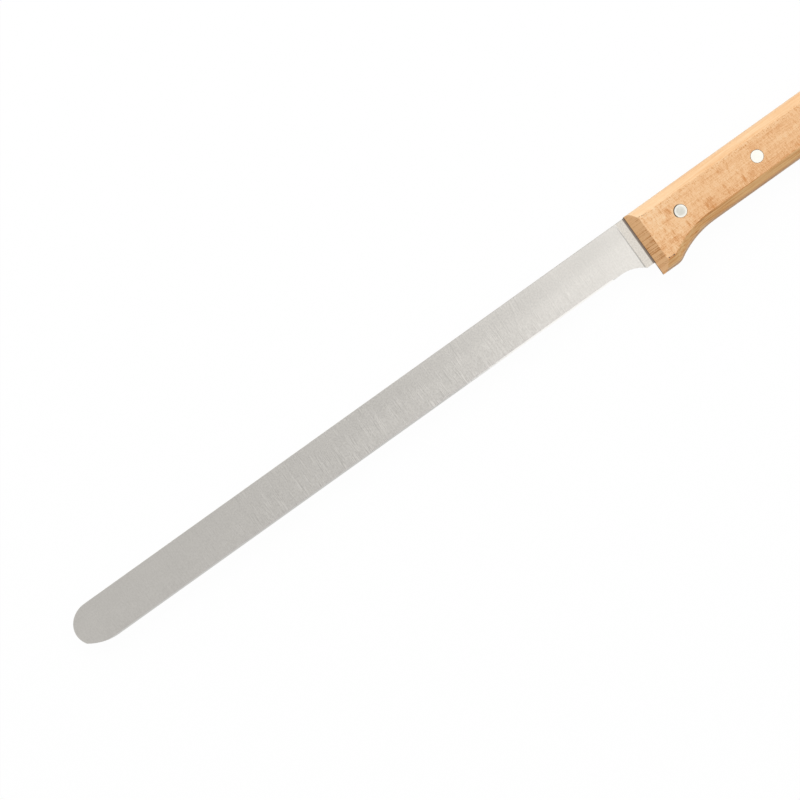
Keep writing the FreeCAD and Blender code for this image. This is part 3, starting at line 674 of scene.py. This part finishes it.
        # Painted shade: the lower chamfer, facing away from the light, gets a darker, warmer tint.
        colour = self.shade(self.low_side * self.step(self.up, *self.CHAMFER), colour, beech.low_side)
        colour = self.shade(self.low_side * self.step(self.x, *self.GUARD_CHAMFER), colour, beech.guard_side)
        colour = self.mix(self.ends, colour, self.end_grain())
        # The dark colour: the seam at the blade, painted shade on the low side and a painted shadow at the
        # front rivet, with small scars.
        colour = self.mix(self.darkness(), colour, beech.seam)

        roughness = beech.roughness + self.fibres.swing(self.FIBRE_ROUGH)
        roughness = roughness + self.ends * self.END_ROUGH + self.fleck * self.FLECK_ROUGH
        height = self.fibres * self.FIBRE_HEIGHT + self.stipple * self.STIPPLE_HEIGHT + self.ends * self.pores
        return self.surface(
            Base_Color=colour,
            Roughness=roughness,
            Coat_Weight=self.COAT,
            Coat_Roughness=self.COAT_ROUGH,
            Specular_IOR_Level=self.GLOSS,
            Normal=self.relief(height, self.RELIEF_DEPTH),
        )


class SandedAluminium(Finish):
    """The rivets' aluminium: sanded heads; the front one has painted shade in its middle and a painted shadow
    at its edge.
    """

    # Soft steps from where a share is 0 to where it is 1, by the direction that the surface faces.
    FLAT = (0.8, 0.98)
    # The same by the square of the distance from the front rivet's middle, in square millimetres.
    WORN_MIDDLE = (6.5, 1.5)
    RIM = (6.8, 8.0)
    FRONT_RIVET = (12, 10)
    # The same in millimetres towards the painted shadow at the edge.
    STAIN_SIDE = (0.6, 2.0)
    # Size of the clouds along, across and through the knife, and thickness of the sanding lines, in metres.
    CLOUD_SIZE, SCRATCH_THICKNESS = mm(1.4, 1.1, 1.2), 1 * MM
    # Darkest metal as a factor, value of the clouds that starts to darken it, and shares in that, in the
    # painted shade of the front rivet's middle and in the painted shadow at its edge.
    DARK_METAL, CLEAR, CLOUD_TONE, SCRATCH_TONE = 0.8, 0.35, 0.4, 0.5
    LEAST_WORN, STAIN_SHARE = 0.4, 0.85
    # Changes of the roughness, and the depth of the sanding lines in metres.
    SCRATCH_ROUGH, SIDE_POLISH, RELIEF_DEPTH = 0.15, 0.08, 0.006 * MM

    def __init__(self, rivets):
        super().__init__(bpy.data.materials.new("sanded_aluminium"))
        self.rivets = rivets

    def complete(self):
        """Joins the parts of the finish and gives the material."""
        rivets = self.rivets
        distance, toward_stain = from_stained_rivet(*self.place()[:2])
        face = self.step(abs(self.facing()[2]), *self.FLAT)
        scratches = self.noise((rivets.scratch_length, rivets.scratch_width, self.SCRATCH_THICKNESS))
        clouds = self.noise(self.CLOUD_SIZE)

        tone = (clouds - self.CLEAR) * self.CLOUD_TONE + scratches.swing(self.SCRATCH_TONE)
        colour = self.mix(face * tone.larger(0.0), rivets.metal, brighter(rivets.metal, self.DARK_METAL))
        # Painted shade in the middle of the front rivet.
        worn = self.step(distance, *self.WORN_MIDDLE) * (self.LEAST_WORN + clouds)
        colour = self.mix(face * worn, colour, rivets.worn)
        # Painted shadow in the gap at the edge of the front rivet.
        stain = self.step(distance, *self.RIM) * self.step(toward_stain, *self.STAIN_SIDE)
        stain = stain * self.step(distance, *self.FRONT_RIVET) * self.STAIN_SHARE
        colour = self.mix(stain, colour, rivets.stain)

        roughness = rivets.roughness + scratches.swing(self.SCRATCH_ROUGH) - (1 - face) * self.SIDE_POLISH
        normal = self.relief(scratches * face, self.RELIEF_DEPTH)
        return self.surface(Base_Color=colour, Metallic=1.0, Roughness=roughness, Normal=normal)


def dress(node_names, material):
    """Gives CAD nodes a finished material."""
    for name in node_names:
        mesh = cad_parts[name].data
        mesh.materials.clear()
        mesh.materials.append(material)


class KNIFE_OT_blade(Operator):
    """Finish the blade: flat ground steel with lines across it and a plain heel"""

    bl_idname = "knife.blade"
    bl_label = "Finish blade"

    def execute(self, context):
        dress([BLADE], GroundSteel(context.scene.carving_knife.steel).complete())
        return {"FINISHED"}


class KNIFE_OT_scales(Operator):
    """Finish the scales: satin varnished beech with flecks, end grain and a dark line at the blade"""

    bl_idname = "knife.scales"
    bl_label = "Finish scales"

    def execute(self, context):
        dress(SCALES, VarnishedBeech(context.scene.carving_knife.beech).complete())
        return {"FINISHED"}


class KNIFE_OT_rivets(Operator):
    """Finish the rivets: aluminium sanded flush with the wood"""

    bl_idname = "knife.rivets"
    bl_label = "Finish rivets"

    def execute(self, context):
        dress(RIVETS, SandedAluminium(context.scene.carving_knife.rivets).complete())
        return {"FINISHED"}


class KNIFE_OT_stage(Operator):
    """Set up the pale floor, the soft light and the camera"""

    bl_idname = "knife.stage"
    bl_label = "Set up stage"

    # Lamps in metres: name, setting with the power, sides, place, point looked at, if metal shows the lamp.
    LAMPS = (
        ("key_lamp", "key_power", (1.8, 1.8), (0.1, 1.5, 1.3), (0.0, 0.0, 0.0), False),
        ("top_lamp", "top_power", (1.4, 1.2), (0.86, 0.0, 1.25), (0.86, 0.0, 0.0), True),
        ("edge_lamp", "edge_power", (1.0, 0.5), (0.56, -0.9, 1.2), (0.56, 0.0, 0.0), True),
    )
    # Soft steps by how high a direction points: to the light overhead, and down from the backdrop's top.
    OVERHEAD = (0.1, 0.9)
    BACKDROP = (0.65, 0.2)

    def execute(self, context):
        studio = context.scene.carving_knife.studio
        context.scene.view_settings.view_transform = "Standard"
        self.lay_floor(studio)
        self.light_room(context, studio)
        for name, setting, sides, place, target, in_metal in self.LAMPS:
            power = getattr(studio, setting)
            lamp = self.hang_lamp(context, name, power, sides, Vector(place), Vector(target))
            lamp.visible_glossy = in_metal
        self.set_camera(context, studio)
        return {"FINISHED"}

    def lay_floor(self, studio):
        """Lays the floor: white to the eye, with the knife's shadow, and grey to the light."""
        bpy.ops.object.select_all(action="DESELECT")
        bpy.ops.mesh.primitive_plane_add(size=studio.floor_size)
        floor = bpy.context.object
        floor.name = "floor"
        finish = Finish(bpy.data.materials.new("pale_floor"))
        seen = self.seen(finish)
        colour = finish.mix(seen, studio.floor_bounce, studio.floor)
        paint = finish.node("ShaderNodeBsdfDiffuse", sockets={"Color": colour})
        white = finish.node("ShaderNodeEmission", sockets={"Color": WHITE, "Strength": 1.0})
        both = finish.node("ShaderNodeMixShader", sockets={0: seen * studio.floor_glow, 1: paint, 2: white})
        finish.show("ShaderNodeOutputMaterial", both)
        floor.data.materials.append(finish.owner)

    def seen(self, finish):
        """1 for what the eye, a polished surface or glass sees, 0 for light that falls on other things."""
        path = finish.node("ShaderNodeLightPath").socket.node
        camera, gloss, glass = (
            Signal(finish, path.outputs[f"Is {ray} Ray"]) for ray in ("Camera", "Glossy", "Transmission")
        )
        return camera.larger(gloss).larger(glass)

    def light_room(self, context, studio):
        """Lights the room softly, most from above, with a white backdrop that metal shows too."""
        context.scene.world = bpy.data.worlds.new("studio")
        finish = Finish(context.scene.world)
        height = finish.parts(finish.node("ShaderNodeTexCoord", output="Generated"))[2]
        overhead = finish.step(height, *self.OVERHEAD)
        strength = studio.room_around + overhead * (studio.room_above - studio.room_around)
        even = finish.node("ShaderNodeBackground", sockets={"Color": WHITE, "Strength": strength})
        white = finish.node("ShaderNodeBackground", sockets={"Color": WHITE, "Strength": 1.0})
        backdrop = self.seen(finish) * finish.step(height, *self.BACKDROP)
        both = finish.node("ShaderNodeMixShader", sockets={0: backdrop, 1: even, 2: white})
        finish.show("ShaderNodeOutputWorld", both)

    def hang_lamp(self, context, name, power, sides, place, target):
        """Hangs a soft rectangular lamp that looks at a point."""
        lamp = bpy.data.lights.new(name, "AREA")
        lamp.shape = "RECTANGLE"
        lamp.size, lamp.size_y = sides
        lamp.energy = power
        holder = bpy.data.objects.new(name, lamp)
        holder.location = place
        holder.rotation_mode = "QUATERNION"
        holder.rotation_quaternion = (target - place).to_track_quat("-Z", "Y")
        holder.visible_camera = False
        context.scene.collection.objects.link(holder)
        return holder

    def set_camera(self, context, studio):
        """Looks straight down on the knife, turned as in the picture."""
        lens = bpy.data.cameras.new("camera")
        lens.lens = lens.sensor_width * studio.view_distance / studio.view_width
        camera = bpy.data.objects.new("camera", lens)
        camera.matrix_world = Matrix.Rotation(-studio.view_roll, 4, "Z")
        camera.location = Vector(studio.view_centre) + Vector((0, 0, studio.view_distance))
        context.scene.collection.objects.link(camera)
        context.scene.camera = camera


class KNIFE_PT_panel(Panel):
    """Lists the knife's pieces and the stage"""

    bl_idname = "KNIFE_PT_panel"
    bl_label = "Carving knife"
    bl_space_type = "VIEW_3D"
    bl_region_type = "UI"
    bl_category = "Carving knife"

    def draw(self, context):
        settings = context.scene.carving_knife
        groups = (
            (KNIFE_OT_blade, settings.steel),
            (KNIFE_OT_scales, settings.beech),
            (KNIFE_OT_rivets, settings.rivets),
            (KNIFE_OT_stage, settings.studio),
        )
        for operator, group in groups:
            box = self.layout.box()
            for name in group.__annotations__:
                box.prop(group, name)
            box.operator(operator.bl_idname)


CLASSES = (
    SteelSettings,
    BeechSettings,
    RivetSettings,
    StudioSettings,
    KnifeSettings,
    KNIFE_OT_blade,
    KNIFE_OT_scales,
    KNIFE_OT_rivets,
    KNIFE_OT_stage,
    KNIFE_PT_panel,
)


def register():
    for item in CLASSES:
        bpy.utils.register_class(item)
    bpy.types.Scene.carving_knife = PointerProperty(type=KnifeSettings)


def unregister():
    del bpy.types.Scene.carving_knife
    for item in reversed(CLASSES):
        bpy.utils.unregister_class(item)


def main():
    """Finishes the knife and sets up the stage."""
    register()
    bpy.ops.knife.blade()
    bpy.ops.knife.scales()
    bpy.ops.knife.rivets()
    bpy.ops.knife.stage()


if __name__ == "__main__":
    main()
